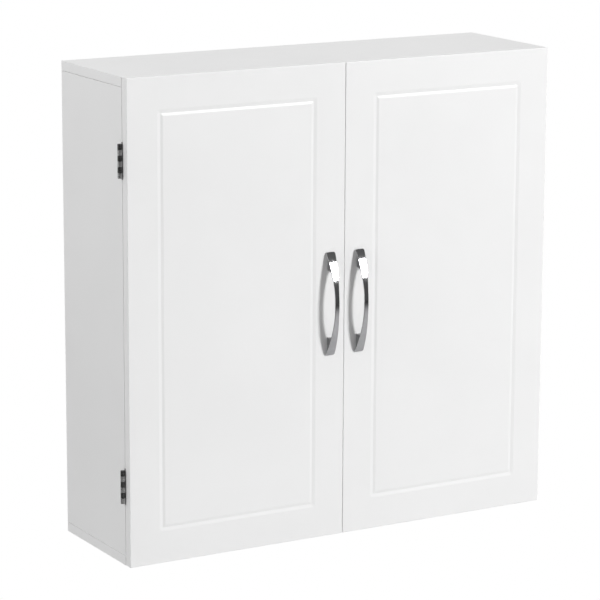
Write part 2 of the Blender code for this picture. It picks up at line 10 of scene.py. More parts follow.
import bmesh
import bpy
from mathutils import Matrix, Quaternion, Vector


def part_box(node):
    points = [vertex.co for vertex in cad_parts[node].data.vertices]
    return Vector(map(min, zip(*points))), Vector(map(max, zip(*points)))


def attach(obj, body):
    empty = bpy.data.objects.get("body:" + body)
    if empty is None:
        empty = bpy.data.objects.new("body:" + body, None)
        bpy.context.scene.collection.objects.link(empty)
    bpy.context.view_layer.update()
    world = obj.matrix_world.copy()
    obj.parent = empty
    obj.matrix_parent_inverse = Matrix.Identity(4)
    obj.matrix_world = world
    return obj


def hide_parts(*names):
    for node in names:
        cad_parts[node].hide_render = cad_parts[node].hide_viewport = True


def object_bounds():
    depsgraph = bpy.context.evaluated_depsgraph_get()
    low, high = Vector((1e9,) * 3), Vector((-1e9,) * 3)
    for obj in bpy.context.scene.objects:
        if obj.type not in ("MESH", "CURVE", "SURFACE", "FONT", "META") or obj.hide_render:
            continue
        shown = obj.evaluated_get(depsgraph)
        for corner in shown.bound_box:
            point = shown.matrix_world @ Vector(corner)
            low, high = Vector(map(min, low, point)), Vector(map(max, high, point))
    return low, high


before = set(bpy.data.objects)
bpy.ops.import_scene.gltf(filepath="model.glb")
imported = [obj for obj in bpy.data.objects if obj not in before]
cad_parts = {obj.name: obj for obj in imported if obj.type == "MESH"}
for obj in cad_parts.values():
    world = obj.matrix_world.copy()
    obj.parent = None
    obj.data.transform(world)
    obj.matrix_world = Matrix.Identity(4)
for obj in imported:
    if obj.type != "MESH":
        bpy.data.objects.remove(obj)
cad_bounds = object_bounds()

# ---- studio
# A seamless white studio: a pale floor, a bright backdrop behind the cabinet and a dim room
# in front of it. One large soft box stands far out to the right of the doors and above
# them. A panel on the left and a long one behind and above lift the side and the top.
scene = bpy.context.scene
scene.view_settings.view_transform = "Standard"

CAMERA_AT = (-1.7625, -3.1223, 0.5014)
CAMERA_YAW = math.radians(29.98)
CAMERA_PITCH = math.radians(12.44)
CAMERA_ROLL = math.radians(0.25)
CAMERA_LENS = 169.35
camera_lens = bpy.data.cameras.new("camera")
camera_lens.sensor_width = 36
camera_lens.lens = CAMERA_LENS
camera_lens.clip_end = 100
camera = bpy.data.objects.new("camera", camera_lens)
scene.collection.objects.link(camera)
camera.location = CAMERA_AT
look = Vector((math.sin(CAMERA_YAW), math.cos(CAMERA_YAW), -math.tan(CAMERA_PITCH)))
tilt = Quaternion((0, 0, 1), CAMERA_ROLL)
camera.rotation_euler = (look.to_track_quat("-Z", "Y") @ tilt).to_euler()
scene.camera = camera

FLOOR_DROP = 0.9  # underside of the cabinet to the floor
FLOOR_REACH = 6.0
# painted shade: the floor's colour falls from pale near the cabinet to dark far out
FLOOR_PAINTED_SHADE = {"From Min": 1.6, "From Max": 5.4, "To Min": 0.78, "To Max": 0.14}
floor_height = cad_bounds[0].z - FLOOR_DROP
cabinet_middle = (cad_bounds[0] + cad_bounds[1]) / 2


def joined(tree, source, target):
    tree.links.new(source, target)


def fade_between(tree, source, limits):
    """A smooth change from one value to another as the source goes up."""
    fade = tree.nodes.new("ShaderNodeMapRange")
    fade.interpolation_type = "SMOOTHSTEP"
    for socket, value in limits.items():
        fade.inputs[socket].default_value = value
    joined(tree, source, fade.inputs["Value"])
    return fade.outputs["Result"]


def white_to_the_eye(tree, lit, plain, output):
    """What the eye sees is plain white, and what lights the cabinet is the real surface."""
    seen = tree.nodes.new("ShaderNodeLightPath")
    mix = tree.nodes.new("ShaderNodeMixShader")
    joined(tree, seen.outputs["Is Camera Ray"], mix.inputs[0])
    joined(tree, lit.outputs[0], mix.inputs[1])
    joined(tree, plain.outputs[0], mix.inputs[2])
    joined(tree, mix.outputs[0], tree.nodes[output].inputs["Surface"])


def floor_finish():
    """Pale matt floor with painted shade: its colour fades darker far out, where the lamps don't
    reach.
    """
    material = bpy.data.materials.new("pale floor")
    material.use_nodes = True
    tree = material.node_tree
    shader = tree.nodes["Principled BSDF"]
    shader.inputs["Roughness"].default_value = 0.9
    spot = tree.nodes.new("ShaderNodeTexCoord")
    distance = tree.nodes.new("ShaderNodeVectorMath")
    distance.operation = "LENGTH"
    joined(tree, spot.outputs["Object"], distance.inputs[0])
    # painted shade: the floor's own colour darkens with distance, standing in for the fall of
    # lamplight
    painted_lamp_pool = fade_between(tree, distance.outputs["Value"], FLOOR_PAINTED_SHADE)
    joined(tree, painted_lamp_pool, shader.inputs["Base Color"])
    white_to_the_eye(tree, shader, tree.nodes.new("ShaderNodeEmission"), "Material Output")
    return material


floor_mesh = bpy.data.meshes.new("floor")
floor_corners = [
    (x * FLOOR_REACH, y * FLOOR_REACH, floor_height)
    for x, y in ((-1, -1), (1, -1), (1, 1), (-1, 1))
]
floor_mesh.from_pydata(floor_corners, [], [(0, 1, 2, 3)])
floor_mesh.materials.append(floor_finish())
floor = bpy.data.objects.new("floor", floor_mesh)
scene.collection.objects.link(floor)

# The room: dim in front of the doors, white behind the cabinet
ROOM_FADE = {"From Min": -0.85, "From Max": 0.45, "To Min": 0.14, "To Max": 0.60}
world = bpy.data.worlds.new("studio")
scene.world = world
world.use_nodes = True
tree = world.node_tree
direction = tree.nodes.new("ShaderNodeTexCoord")
axes = tree.nodes.new("ShaderNodeSeparateXYZ")
joined(tree, direction.outputs["Generated"], axes.inputs[0])
room = tree.nodes["Background"]
room.inputs["Color"].default_value = (1, 1, 1, 1)
joined(tree, fade_between(tree, axes.outputs["Y"], ROOM_FADE), room.inputs["Strength"])
plain = tree.nodes.new("ShaderNodeBackground")
plain.inputs["Color"].default_value = (1, 1, 1, 1)
plain.inputs["Strength"].default_value = 1.0
white_to_the_eye(tree, room, plain, "World Output")


def panel_light(name, bearing, rise, distance, width, height, brightness):
    """A soft panel aimed at the cabinet. Bearing is degrees to the right of the doors' front."""
    bearing, rise = math.radians(bearing), math.radians(rise)
    toward = Vector((
        math.sin(bearing) * math.cos(rise),
        -math.cos(bearing) * math.cos(rise),
        math.sin(rise),
    ))
    data = bpy.data.lights.new(name, "AREA")
    data.shape = "RECTANGLE"
    data.size = width
    data.size_y = height
    data.energy = brightness * math.pi * width * height
    light = bpy.data.objects.new(name, data)
    scene.collection.objects.link(light)
    light.location = cabinet_middle + toward * distance
    light.rotation_euler = toward.to_track_quat("Z", "Y").to_euler()
    return light


panel_light(
    "soft_box", bearing=32.5, rise=21.8, distance=5.2, width=0.82, height=1.52, brightness=54
)
panel_light(
    "left_panel", bearing=-85, rise=20, distance=2.4, width=1.3, height=1.0, brightness=4.2
)
panel_light(
    "back_panel", bearing=180, rise=50, distance=0.9, width=1.6, height=0.3, brightness=1.0
)

# ---- carcass
# Four 12 mm boards in white satin paint: the bottom and the top run the full width over
# the two sides. Each is cut square, its edges eased by a hair, and ploughed 6 mm deep for
# the back sheet. The sides also have rows of 5 mm holes for the shelf pegs.
EASED_EDGE = 0.0004
EASE_STEPS = 3
HOLE_SIDES = 32
SHARP = 35  # degrees between two faces that still shade as one
CLEAR = 0.0003
LEAF = 0.0009  # sheet of a hinge leaf, let into the board's edge
BACK_SHEET_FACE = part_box("back_panel")[0].y
BACK_SHEET_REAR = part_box("back_panel")[1].y
PLOUGH = 0.006
PEG_HOLE = 0.0025
PEG_HOLE_DEPTH = 0.0085
PEG_HOLE_PITCH = 0.032
PEG_BELOW_SHELF = 0.005  # middle of a peg to the underside of the shelf
OVERCUT = 0.01  # how far a cutter runs on past the end of a board

SIDES = {"left": -1, "right": 1}
UP = Vector((0, 0, 1))
ACROSS = Vector((1, 0, 0))


def new_finish(name, colour, roughness, metallic=0.0):
    """A material and its shader, ready for colour, roughness and bump to be added."""
    material = bpy.data.materials.new(name)
    material.use_nodes = True
    shader = material.node_tree.nodes["Principled BSDF"]
    shader.inputs["Base Color"].default_value = (*colour, 1)
    shader.inputs["Roughness"].default_value = roughness
    shader.inputs["Metallic"].default_value = metallic
    return material, material.node_tree, shader


def speckle(tree, scale, detail=2.0):
    """Noise over the piece, with about this many lumps to the metre."""
    spot = tree.nodes.new("ShaderNodeTexCoord")
    noise = tree.nodes.new("ShaderNodeTexNoise")
    noise.inputs["Scale"].default_value = scale
    noise.inputs["Detail"].default_value = detail
    joined(tree, spot.outputs["Object"], noise.inputs["Vector"])
    return noise.outputs["Fac"]


def vary_roughness(tree, shader, pattern, low, high):
    spread = tree.nodes.new("ShaderNodeMapRange")
    spread.inputs["From Min"].default_value = 0.3
    spread.inputs["From Max"].default_value = 0.7
    spread.inputs["To Min"].default_value = low
    spread.inputs["To Max"].default_value = high
    joined(tree, pattern, spread.inputs["Value"])
    joined(tree, spread.outputs["Result"], shader.inputs["Roughness"])


def vary_colour(tree, shader, pattern, first, second):
    ramp = tree.nodes.new("ShaderNodeValToRGB")
    ramp.color_ramp.elements[0].position = 0.35
    ramp.color_ramp.elements[0].color = (*first, 1)
    ramp.color_ramp.elements[1].position = 0.65
    ramp.color_ramp.elements[1].color = (*second, 1)
    joined(tree, pattern, ramp.inputs["Fac"])
    joined(tree, ramp.outputs["Color"], shader.inputs["Base Color"])


def raise_surface(tree, shader, pattern, strength, height):
    bump = tree.nodes.new("ShaderNodeBump")
    bump.inputs["Strength"].default_value = strength
    bump.inputs["Distance"].default_value = height
    joined(tree, pattern, bump.inputs["Height"])
    joined(tree, bump.outputs["Normal"], shader.inputs["Normal"])


def satin_white():
    """White satin paint, rolled out with a faint orange peel."""
    material, tree, shader = new_finish("white satin paint", (0.87, 0.87, 0.87), roughness=0.4)
    vary_colour(tree, shader, speckle(tree, 7), (0.862, 0.862, 0.862), (0.878, 0.878, 0.878))
    vary_roughness(tree, shader, speckle(tree, 40), low=0.36, high=0.46)
    raise_surface(tree, shader, speckle(tree, 450), strength=0.12, height=0.00006)
    return material


white_paint = satin_white()


def to_mesh(bm, name, sharp=SHARP):
    bmesh.ops.recalc_face_normals(bm, faces=bm.faces)
    mesh = bpy.data.meshes.new(name)
    bm.to_mesh(mesh)
    bm.free()
    mesh.shade_smooth()
    mesh.set_sharp_from_angle(angle=math.radians(sharp))
    return mesh


def block(bm, low, high):
    """A box between two corners."""
    low, high = Vector(low), Vector(high)
    stretch = Matrix.Diagonal((*(high - low), 1))
    return bmesh.ops.create_cube(bm, size=1, matrix=Matrix.Translation((low + high) / 2) @ stretch)


def eased_block(low, high, ease=EASED_EDGE, steps=EASE_STEPS):
    """A box with every edge rounded over."""
    bm = bmesh.new()
    block(bm, low, high)
    bmesh.ops.bevel(bm, geom=bm.edges[:], offset=ease, segments=steps, profile=0.5, affect="EDGES")
    return bm


def skin(bm, rings):
    """Faces between successive closed rings of points, with both ends capped."""
    rings = [[bm.verts.new(point) for point in ring] for ring in rings]
    count = len(rings[0])
    for lower, upper in zip(rings, rings[1:]):
        for i in range(count):
            j = (i + 1) % count
            bm.faces.new((lower[i], lower[j], upper[j], upper[i]))
    bm.faces.new(rings[0])
    bm.faces.new(rings[-1])


def turned(bm, profile, start, along, sides=HOLE_SIDES):
    """A solid turned about a line. The profile lists (distance along the line, radius)."""
    turn = UP.rotation_difference(Vector(along)).to_matrix()
    rings = []
    for distance, radius in profile:
        ring = []
        for step in range(sides):
            angle = 2 * math.pi * step / sides
            point = Vector((radius * math.cos(angle), radius * math.sin(angle), distance))
            ring.append(Vector(start) + turn @ point)
        rings.append(ring)
    skin(bm, rings)


def place(name, mesh, finish):
    """A loose piece in the scene, not yet fixed to anything."""
    piece = bpy.data.objects.new(name, mesh)
    scene.collection.objects.link(piece)
    if not mesh.materials:
        mesh.materials.append(finish)
    return piece


def shaped(piece, bm, operation):
    """Cuts a shape from a piece, or adds it, and keeps the result as the piece's mesh."""
    tool = place("tool", to_mesh(bm, "tool"), piece.data.materials[0])
    boolean = piece.modifiers.new("shape", "BOOLEAN")
    boolean.operation = operation
    boolean.solver = "EXACT"
    boolean.object = tool
    graph = bpy.context.evaluated_depsgraph_get()
    mesh = bpy.data.meshes.new_from_object(piece.evaluated_get(graph))
    piece.modifiers.clear()
    piece.data = mesh
    bpy.data.objects.remove(tool)
    mesh.shade_smooth()
    mesh.set_sharp_from_angle(angle=math.radians(SHARP))


def even_shading(piece):
    """Keeps broad faces flat beside their rounded edges."""
    even = piece.modifiers.new("even shading", "WEIGHTED_NORMAL")
    even.keep_sharp = True


def fix(piece, node, body):
    """Puts a finished piece in place of its CAD node."""
    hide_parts(node)
    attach(piece, body)


def back_groove(bm, low, high):
    """Slot for the back sheet, between two corners in x and z."""
    rear = BACK_SHEET_REAR + CLEAR
    block(bm, (low[0], BACK_SHEET_FACE - CLEAR, low[1]), (high[0], rear, high[1]))


def hinge_recesses(bm, side, leaf, face):
    """Recesses for one side's hinge leaves. face is 1 on the carcass and -1 on the door."""
    for level in ("upper", "lower"):
        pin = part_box(f"{side}_{level}_hinge_pin")
        low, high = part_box(f"{side}_{level}_hinge_{leaf}_leaf")
        axis = (pin[0] + pin[1]) / 2
        inner = high.x + CLEAR if side == "left" else low.x - CLEAR
        bed = axis.y + face * (LEAF + 1.5 * CLEAR)
        block(bm, (axis.x, axis.y, low.z - CLEAR), (inner, bed, high.z + CLEAR))


inside_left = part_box("left_side_panel")[1].x
inside_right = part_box("right_side_panel")[0].x
inside_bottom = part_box("bottom_panel")[1].z
inside_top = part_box("top_panel")[0].z
for name, inner in (("bottom_panel", inside_bottom), ("top_panel", inside_top)):
    panel = place(name + "_board", to_mesh(eased_block(*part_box(name)), name), white_paint)
    slot_cut = bmesh.new()
    back_groove(
        slot_cut,
        (inside_left - PLOUGH, inner - PLOUGH),
        (inside_right + PLOUGH, inner + PLOUGH),
    )
    shaped(panel, slot_cut, "DIFFERENCE")
    even_shading(panel)
    fix(panel, name, "cabinet")

peg_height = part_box("shelf")[0].z - PEG_BELOW_SHELF
for side, sign in SIDES.items():
    low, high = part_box(f"{side}_side_panel")
    inner = high.x if sign < 0 else low.x
    board = to_mesh(eased_block(low, high), f"{side}_side")
    panel = place(f"{side}_side_board", board, white_paint)
    slot_cut = bmesh.new()
    back_groove(slot_cut, (inner - PLOUGH, low.z - OVERCUT), (inner + PLOUGH, high.z + OVERCUT))
    shaped(panel, slot_cut, "DIFFERENCE")
    holes = bmesh.new()
    for row in ("rear", "front"):
        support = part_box(f"shelf_support_{row}_{side}")
        y = (support[0].y + support[1].y) / 2
        for step in (-1, 0, 1):
            start = (inner - sign * CLEAR, y, peg_height + step * PEG_HOLE_PITCH)
            turned(holes, ((0, PEG_HOLE), (PEG_HOLE_DEPTH, PEG_HOLE)), start, sign * ACROSS)
    shaped(panel, holes, "DIFFERENCE")
    recesses = bmesh.new()
    hinge_recesses(recesses, side, "frame", 1)
    shaped(panel, recesses, "DIFFERENCE")
    even_shading(panel)
    fix(panel, f"{side}_side_panel", "cabinet")

# ---- back sheet
# A 3 mm hardboard sheet, lacquered white on its face and slid into the boards' grooves.
# Its back is the plain pale side of the sheet, with the fine mottle of pressed fibre.


def pressed_sheet():
    material, tree, shader = new_finish("white faced hardboard", (0.8, 0.8, 0.79), roughness=0.55)
    vary_colour(tree, shader, speckle(tree, 160, 6), (0.80, 0.80, 0.79), (0.84, 0.84, 0.833))
    vary_roughness(tree, shader, speckle(tree, 90, 4), low=0.5, high=0.65)
    raise_surface(tree, shader, speckle(tree, 700, 5), strength=0.25, height=0.0001)
    return material


sheet_mesh = to_mesh(eased_block(*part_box("back_panel"), ease=0.0003, steps=1), "back_sheet")
back_sheet = place("back_sheet", sheet_mesh, pressed_sheet())
even_shading(back_sheet)
fix(back_sheet, "back_panel", "cabinet")

# ---- hanging rail and plates
# A painted rail runs between the sides behind the back sheet. Two zinc plated steel plates
# are let into its back and screwed there. Each has a keyhole that drops over a wall screw,
# and the rail is cut away behind it to clear the screw's head.
REAR = Vector((0, 1, 0))
HEAD_ROOM = Vector((0.0065, 0, 0.010))  # half the width and height of the cut behind a keyhole
HEAD_ROOM_DEPTH = 0.008


def zinc_plate():
    material, tree, shader = new_finish(
        "zinc plated steel", (0.62, 0.63, 0.65), roughness=0.3, metallic=1.0
    )
    vary_colour(tree, shader, speckle(tree, 260, 4), (0.56, 0.57, 0.59), (0.68, 0.69, 0.71))
    vary_roughness(tree, shader, speckle(tree, 500, 3), low=0.24, high=0.4)
    raise_surface(tree, shader, speckle(tree, 1800, 2), strength=0.1, height=0.00003)
    return material


zinc = zinc_plate()
rail = place("rail_board", to_mesh(eased_block(*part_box("hanging_rail")), "rail"), white_paint)
plates = {side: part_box(f"hanging_plate_{side}") for side in SIDES}
cuts = bmesh.new()
for low, high in plates.values():
    gap = Vector((CLEAR, CLEAR, CLEAR))
    block(cuts, low - gap, high + gap + OVERCUT * REAR)
shaped(rail, cuts, "DIFFERENCE")
cuts = bmesh.new()  # the two cuts overlap, so they are made one after the other
for low, high in plates.values():
    near = Vector(((low.x + high.x) / 2, low.y, (low.z + high.z) / 2))
    block(cuts, near - HEAD_ROOM - HEAD_ROOM_DEPTH * REAR, near + HEAD_ROOM)
shaped(rail, cuts, "DIFFERENCE")
even_shading(rail)
fix(rail, "hanging_rail", "cabinet")

KEYHOLE_HEAD = 0.0045
KEYHOLE_SLOT = 0.0023
KEYHOLE_DROP = 0.0045
KEYHOLE_RISE = 0.0060
CUT_PAST = 0.001  # how far a small cutter stands clear of each face


def prism(bm, outline, near, far):
    """An outline of (x, z) points carried along Y from near to far."""
    skin(bm, [[(x, y, z) for x, z in outline] for y in (near, far)])


def keyhole(x, z, steps=36):
    """A round opening with a narrower slot above it."""
    shoulder = math.asin(KEYHOLE_SLOT / KEYHOLE_HEAD)
    outline = []
    for step in range(steps + 1):
        angle = math.pi / 2 + shoulder + step * (2 * math.pi - 2 * shoulder) / steps
        lift = KEYHOLE_HEAD * math.sin(angle) - KEYHOLE_DROP
        outline.append((x + KEYHOLE_HEAD * math.cos(angle), z + lift))
    for step in range(steps // 2 + 1):
        angle = step * math.pi / (steps // 2)
        lift = KEYHOLE_SLOT * math.sin(angle) + KEYHOLE_RISE
        outline.append((x + KEYHOLE_SLOT * math.cos(angle), z + lift))
    return outline


def cross_recess(bm, reach, wide, deep, face):
    """The tapering cross of a screw head, sunk from a face at this height."""
    arm = ((reach, -wide / 2), (reach, wide / 2), (wide / 2, wide / 2))
    outline = list(arm)
    for _ in range(3):
        arm = tuple((-y, x) for x, y in arm)
        outline += arm
    rings = []
    for scale, height in ((0.45, face - deep), (1, face + 0.0002)):
        rings.append([(x * scale, y * scale, height) for x, y in outline])
    skin(bm, rings)


def screw_shape(name, profile, recess, face):
    """A turned screw along Z, its head up. The recess is (reach, width of an arm, depth)."""
    bm = bmesh.new()
    turned(bm, profile, (0, 0, 0), UP, sides=28)
    screw = place(name, to_mesh(bm, name), zinc)
    cross = bmesh.new()
    cross_recess(cross, *recess, face)
    shaped(screw, cross, "DIFFERENCE")
    mesh = screw.data
    bpy.data.objects.remove(screw)
    return mesh


def countersunk(name, head, shank, sink, length):
    """A wood screw whose head lies flush, with its point below."""
    profile = (
        (0, head - 0.0002),
        (-0.0001, head),
        (-sink / 6, head),
        (-sink, shank * 1.15),
        (-sink - 0.0004, shank),
        (3 * shank - length, shank * 0.9),
        (-length, 0.15 * shank),
    )
    return screw_shape(name, profile, recess=(0.62 * head, 0.24 * head, 0.9 * sink), face=0.0)


def countersink(bm, head, hole, deep, at, inward):
    """Cutter for a screw's sunk head and its hole, from a point on the face."""
    profile = ((-CUT_PAST, head), (0, head), (deep, hole), (deep + CUT_PAST, hole))
    turned(bm, profile, at, inward)


def fit_screw(name, mesh, at, outward, body):
    """One screw in place of its CAD node, its head's face at a point."""
    piece = place(name + "_turned", mesh, zinc)
    turn = UP.rotation_difference(outward).to_matrix().to_4x4()
    piece.matrix_world = Matrix.Translation(at) @ turn
    fix(piece, name, body)


plate_screw = countersunk("plate_screw", head=0.0027, shank=0.0014, sink=0.0013, length=0.0085)
for side in SIDES:
    low, high = plates[side]
    middle = (low + high) / 2
    plate_mesh = to_mesh(eased_block(low, high, ease=0.0003, steps=2), "plate")
    plate = place(f"keyhole_plate_{side}", plate_mesh, zinc)
    cuts = bmesh.new()
    prism(cuts, keyhole(middle.x, middle.z), low.y - CUT_PAST, high.y + CUT_PAST)
    for end in ("a", "b"):
        name = f"hanging_plate_screw_{side}_{end}"
        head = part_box(name)
        at = Vector(((head[0].x + head[1].x) / 2, high.y, (head[0].z + head[1].z) / 2))
        countersink(cuts, head=0.003, hole=0.0017, deep=0.0015, at=at, inward=-REAR)
        fit_screw(name, plate_screw, at, REAR, "cabinet")
    shaped(plate, cuts, "DIFFERENCE")
    fix(plate, f"hanging_plate_{side}", "cabinet")

# ---- shelf and its supports
# One painted board rests on four zinc plated steel supports. Each support is an angle bent
# from 1.6 mm sheet, with a peg riveted to it that plugs into a hole in the side.
shelf_board = place("shelf_board", to_mesh(eased_block(*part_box("shelf")), "shelf"), white_paint)
even_shading(shelf_board)
fix(shelf_board, "shelf", "cabinet")

SUPPORT_SHEET = 0.0016
SUPPORT_HEIGHT = 0.0125
SUPPORT_TAB = 0.011
SUPPORT_BEND = 0.0012
BEND_STEPS = 6
PEG = 0.0025
PEG_LENGTH = 0.0081
PEG_CHAMFER = 0.0003


def bent_angle(sign, inner, top):
    """The (x, z) outline of a support: a plate down the side, a bend and a tab under the shelf."""
    across = CLEAR + SUPPORT_SHEET + SUPPORT_BEND
    height = top - SUPPORT_SHEET - SUPPORT_BEND
    foot = top - SUPPORT_HEIGHT

    def bend(radius):
        angles = [math.pi / 2 * (1 + step / BEND_STEPS) for step in range(BEND_STEPS + 1)]
        return [(across + radius * math.cos(a), height + radius * math.sin(a)) for a in angles]

    outline = [
        (SUPPORT_TAB, top),
        *bend(SUPPORT_SHEET + SUPPORT_BEND),
        (CLEAR, foot),
        (CLEAR + SUPPORT_SHEET, foot),
        *reversed(bend(SUPPORT_BEND)),
        (SUPPORT_TAB, top - SUPPORT_SHEET),
    ]
    return [(inner - sign * x, z) for x, z in outline]


for side, sign in SIDES.items():
    inner = inside_left if sign < 0 else inside_right
    for row in ("rear", "front"):
        name = f"shelf_support_{row}_{side}"
        low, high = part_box(name)
        bm = bmesh.new()
        prism(bm, bent_angle(sign, inner, high.z), low.y, high.y)
        bmesh.ops.bevel(bm, geom=bm.edges[:], offset=0.00015, segments=1, affect="EDGES")
        support = place(f"pressed_{name}", to_mesh(bm, name), zinc)
        peg = bmesh.new()
        in_sheet = inner - sign * (CLEAR + SUPPORT_SHEET / 2)
        start = Vector((in_sheet, (low.y + high.y) / 2, peg_height))
        peg_profile = ((0, PEG), (PEG_LENGTH - PEG_CHAMFER, PEG), (PEG_LENGTH, 0.8 * PEG))
        turned(peg, peg_profile, start, sign * ACROSS)
        shaped(support, peg, "UNION")
        fix(support, name, "cabinet")

# ---- magnetic catch
# A moulded white plastic housing screwed up under the top by its two ears. Each of its
# two wells holds a black magnet between a pair of steel pole plates.
CATCH_EAR = 0.0016
CATCH_HALF_BODY = 0.020
WELL_WIDTH = 0.016
WELL_DEPTH = 0.0016
WELL_HEIGHT = 0.0085
WELL_FROM_MIDDLE = 0.010
WELL_FROM_TOP = 0.0065
WELL_PLAY = 0.0004  # each end of a magnet to the end of its well


def moulded_white():
    material, tree, shader = new_finish("white plastic", (0.82, 0.82, 0.80), roughness=0.42)
    vary_colour(tree, shader, speckle(tree, 60), (0.81, 0.81, 0.79), (0.83, 0.83, 0.815))
    vary_roughness(tree, shader, speckle(tree, 300, 3), low=0.36, high=0.5)
    raise_surface(tree, shader, speckle(tree, 2500, 2), strength=0.15, height=0.00004)
    return material


def ferrite():
    material, tree, shader = new_finish("black magnet", (0.035, 0.035, 0.037), roughness=0.6)
    vary_colour(tree, shader, speckle(tree, 900, 4), (0.025, 0.025, 0.027), (0.055, 0.055, 0.058))
    vary_roughness(tree, shader, speckle(tree, 1200, 3), low=0.5, high=0.75)
    return material


low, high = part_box("catch_housing")
catch_body = eased_block(
    (-CATCH_HALF_BODY, low.y, low.z), (CATCH_HALF_BODY, high.y, high.z), ease=0.0005, steps=2
)
housing = place("catch_body", to_mesh(catch_body, "catch"), moulded_white())
ears = eased_block((low.x, low.y, high.z - CATCH_EAR), high, ease=0.0003, steps=2)
shaped(housing, ears, "UNION")
wells = bmesh.new()
well_middle = high.z - WELL_FROM_TOP
for sign in SIDES.values():
    x = sign * WELL_FROM_MIDDLE
    block(
        wells,
        (x - WELL_WIDTH / 2, low.y - CUT_PAST, well_middle - WELL_HEIGHT / 2),
        (x + WELL_WIDTH / 2, low.y + WELL_DEPTH, well_middle + WELL_HEIGHT / 2),
    )
catch_screw = countersunk("catch_screw", head=0.0025, shank=0.0013, sink=0.0014, length=0.0095)
for side in SIDES:
    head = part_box(f"catch_screw_{side}")
    at = Vector(((head[0].x + head[1].x) / 2, (head[0].y + head[1].y) / 2, high.z - CATCH_EAR))
    countersink(wells, head=0.0028, hole=0.0016, deep=CATCH_EAR, at=at, inward=UP)
    fit_screw(f"catch_screw_{side}", catch_screw, at, -UP, "cabinet")
shaped(housing, wells, "DIFFERENCE")
fix(housing, "catch_housing", "cabinet")

magnet_finish = ferrite()
for side, sign in SIDES.items():
    x = sign * WELL_FROM_MIDDLE
    half_width = WELL_WIDTH / 2 - WELL_PLAY
    parts = (
        ("magnet", magnet_finish, "catch_plastic", -0.0028, 0.0028, 0.0003),
        ("lower_pole", zinc, "zinc_steel", -0.0041, -0.0030, -0.0004),
        ("upper_pole", zinc, "zinc_steel", 0.0030, 0.0041, -0.0004),
    )
    for part, finish, slot, under, over, recessed in parts:
        bm = eased_block(
            (x - half_width, low.y + recessed, well_middle + under),
            (x + half_width, low.y + WELL_DEPTH, well_middle + over),
            ease=0.0002,
            steps=1,
        )
        piece = place(f"{side}_catch_{part}", to_mesh(bm, part), finish)
        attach(piece, "cabinet")

# ---- hinges
# Four small butt hinges in plated steel. The frame leaf and the pin are painted near black and the
# door leaf grey: a shaded and a lit copy of one steel, painted shade and painted light for how the
# alternate knuckles take the light. Each leaf is 0.9 mm sheet rolled round the pin into three
# knuckles. One is let into the front edge of the side, the other into the back of the door, so
# only the barrel shows outside.
LEAF_REACH = 0.0143
LEAF_ROOT = 0.0031
BARREL = 0.00275
KNUCKLES = 6
KNUCKLE_GAP = 0.0004
PIN = 0.0017
SEAM = math.radians(5)  # open joint where the roll of a knuckle meets its own leaf
LEAF_CORNER = 0.0015
HINGE_SCREW_IN = 0.0088
HINGE_SCREW_SPREAD = 0.013
SAME = 1e-6


def plating(name, shade):
    material, tree, shader = new_finish(name, (shade, shade, shade), roughness=0.3, metallic=1.0)
    dull, bright = 0.85 * shade, 1.2 * shade
    vary_colour(tree, shader, speckle(tree, 300, 4), (dull, dull, dull), (bright, bright, bright))
    vary_roughness(tree, shader, speckle(tree, 600, 3), low=0.24, high=0.38)
    raise_surface(tree, shader, speckle(tree, 1500, 2), strength=0.12, height=0.00003)
    return material


# Painted shade and painted light: one plated steel in a near black copy for the frame leaves and
# pins and a grey copy for the door leaves, for the dark and light knuckles
frame_leaf_painted_shade_steel = plating("plated steel painted dark for shade", 0.10)
door_leaf_painted_light_steel = plating("plated steel painted light for highlight", 0.42)


def rolled_knuckle(steps=32):
    """Outline of a rolled knuckle: (u, w), u towards the leaf and w to the leaf's own side."""
    inner = BARREL - LEAF
    leaf_face = CLEAR / 2
    neck = LEAF_ROOT + LEAF
    start = math.asin((leaf_face + LEAF) / BARREL)
    end = 2 * math.pi - SEAM
    outline = [(neck, leaf_face), (neck, leaf_face + LEAF)]
    for step in range(steps + 1):
        angle = start + step / steps * (end - start)
        outline.append((BARREL * math.cos(angle), BARREL * math.sin(angle)))
    bore_start = math.asin(leaf_face / inner)
    for step in range(steps + 1):
        angle = end + step / steps * (bore_start - end)
        outline.append((inner * math.cos(angle), inner * math.sin(angle)))
    return outline


def hinge_leaf(name, sign, face, own, axis, height, barrel, steel):
    """A leaf with every other knuckle. face is 1 on the carcass and -1 on the door."""
    pitch = barrel / KNUCKLES
    leaf_face = CLEAR / 2

    def set_out(u, w, z):
        return Vector((axis.x - sign * u, axis.y + face * w, axis.z + z))

    ends = [
        set_out(LEAF_ROOT, leaf_face, -height / 2),
        set_out(LEAF_REACH, leaf_face + LEAF, height / 2),
    ]
    low = Vector(map(min, *ends))
    high = Vector(map(max, *ends))
    bm = bmesh.new()
    block(bm, low, high)
    free_corners = []
    for edge in bm.edges:
        one, other = (vert.co for vert in edge.verts)
        runs_through = abs(one.x - other.x) < SAME and abs(one.z - other.z) < SAME
        if runs_through and abs(one.x - axis.x) > LEAF_REACH - SAME:
            free_corners.append(edge)
    bmesh.ops.bevel(bm, geom=free_corners, offset=LEAF_CORNER, segments=4, affect="EDGES")
    leaf = place(name, to_mesh(bm, name), steel)
    knuckles = bmesh.new()
    for k in own:
        near = k * pitch + KNUCKLE_GAP / 2 - barrel / 2
        far = near + pitch - KNUCKLE_GAP
        skin(knuckles, [[set_out(u, w, z) for u, w in rolled_knuckle()] for z in (near, far)])
    shaped(leaf, knuckles, "UNION")
    sinks = bmesh.new()
    for way in (-1, 1):
        at = set_out(HINGE_SCREW_IN, leaf_face, way * HINGE_SCREW_SPREAD)
        countersink(sinks, head=0.0024, hole=0.0014, deep=LEAF, at=at, inward=face * REAR)
    shaped(leaf, sinks, "DIFFERENCE")
    return leaf


